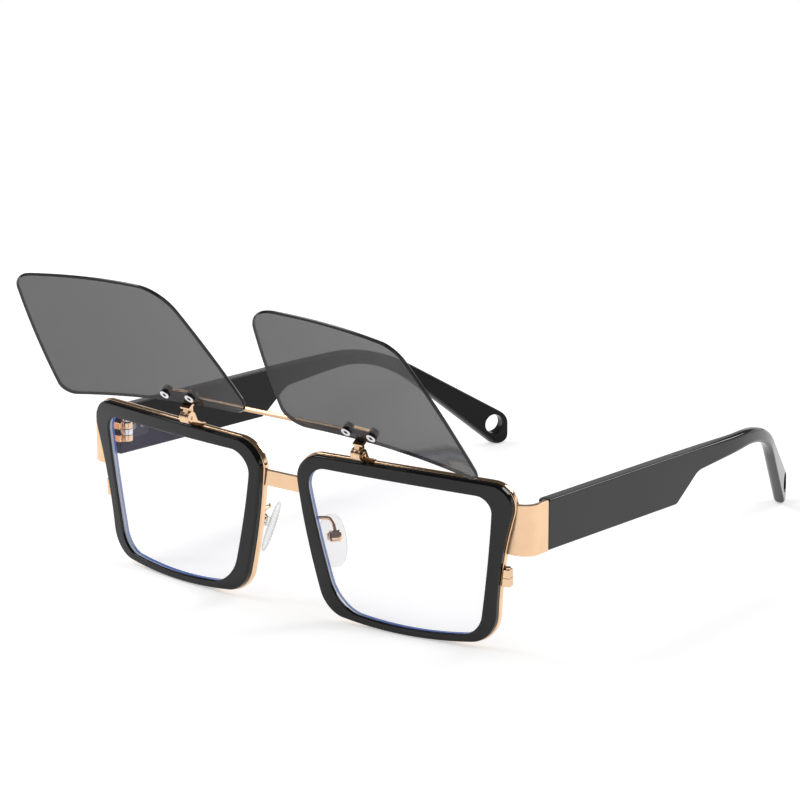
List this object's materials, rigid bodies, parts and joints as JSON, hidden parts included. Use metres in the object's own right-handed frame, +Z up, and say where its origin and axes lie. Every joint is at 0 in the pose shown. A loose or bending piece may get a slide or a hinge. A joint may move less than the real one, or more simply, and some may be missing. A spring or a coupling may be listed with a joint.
{
  "type": "flip up sunglasses",
  "caption": "Square spectacles with clear lenses, folding temples and tinted lenses that flip up on a pair of small hinges.",
  "frame": {"origin": "on the table plane under the middle of the whole object's box, midway between the lenses", "axes": "+X to the wearer's left, +Y towards the ear ends of the temples, +Z up; the glasses stand on the rims and the temple tips"},
  "size_m": [0.141, 0.1908, 0.0871],
  "materials": {
    "black_plastic": "gloss black",
    "gold_metal": "polished light rose gold plate",
    "silver_metal": "bright silver",
    "clear_glass": "clear with a blue edge",
    "smoke_glass": "smoke grey tint",
    "clear_silicone": "clear silicone"
  },
  "bodies": {
    "front": {"front_ring_left": "black_plastic", "front_ring_right": "black_plastic", "eyewire_left": "gold_metal", "eyewire_right": "gold_metal", "clear_lens_left": "clear_glass", "clear_lens_right": "clear_glass", "closing_block_left": "gold_metal", "closing_block_right": "gold_metal", "closing_screw_left": "gold_metal", "closing_screw_right": "gold_metal", "bridge": "gold_metal", "endpiece_left": "gold_metal", "endpiece_right": "gold_metal", "endpiece_hinge_left": "gold_metal", "endpiece_hinge_right": "gold_metal", "hinge_screw_left": "silver_metal", "hinge_screw_right": "silver_metal", "pad_arm_left": "gold_metal", "pad_arm_right": "gold_metal", "pad_box_left": "gold_metal", "pad_box_right": "gold_metal", "pad_screw_left": "silver_metal", "pad_screw_right": "silver_metal", "flip_base_left": "gold_metal", "flip_base_right": "gold_metal", "flip_pin_left": "gold_metal", "flip_pin_right": "gold_metal"},
    "flip": {"flip_carrier_left": "gold_metal", "flip_carrier_right": "gold_metal", "flip_bar": "gold_metal", "tinted_lens_left": "smoke_glass", "tinted_lens_right": "smoke_glass", "lens_bushings_left": "black_plastic", "lens_bushings_right": "black_plastic", "lens_screws_left": "gold_metal", "lens_screws_right": "gold_metal", "lens_nuts_left": "silver_metal", "lens_nuts_right": "silver_metal"},
    "temple_left": {"temple_left": "black_plastic", "temple_hinge_left": "silver_metal", "temple_rivets_left": "silver_metal"},
    "nose_pad_left": {"nose_pad_left": "clear_silicone"},
    "temple_right": {"temple_right": "black_plastic", "temple_hinge_right": "silver_metal", "temple_rivets_right": "silver_metal"},
    "nose_pad_right": {"nose_pad_right": "clear_silicone"}
  },
  "joints": [
    {"name": "temple_left_fold", "type": "hinge", "parent": "front", "child": "temple_left", "pos_m": [0.0649, -0.04801, 0.03225], "axis": [0, 0, 1], "range_deg": [0, 85]},
    {"name": "temple_right_fold", "type": "hinge", "parent": "front", "child": "temple_right", "pos_m": [-0.0649, -0.04801, 0.03225], "axis": [0, 0, -1], "range_deg": [0, 72]},
    {"name": "flip_hinge", "type": "hinge", "parent": "front", "child": "flip", "pos_m": [0, -0.06749, 0.04665], "axis": [1, 0, 0], "range_deg": [0, 147]},
    {"name": "nose_pad_left_rock", "type": "hinge", "parent": "front", "child": "nose_pad_left", "pos_m": [0.01153, -0.05704, 0.02016], "axis": [0.6018, 0.7986, 0], "range_deg": [-8, 8]},
    {"name": "nose_pad_right_rock", "type": "hinge", "parent": "front", "child": "nose_pad_right", "pos_m": [-0.01153, -0.05704, 0.02016], "axis": [-0.6018, 0.7986, 0], "range_deg": [-8, 8]}
  ]
}
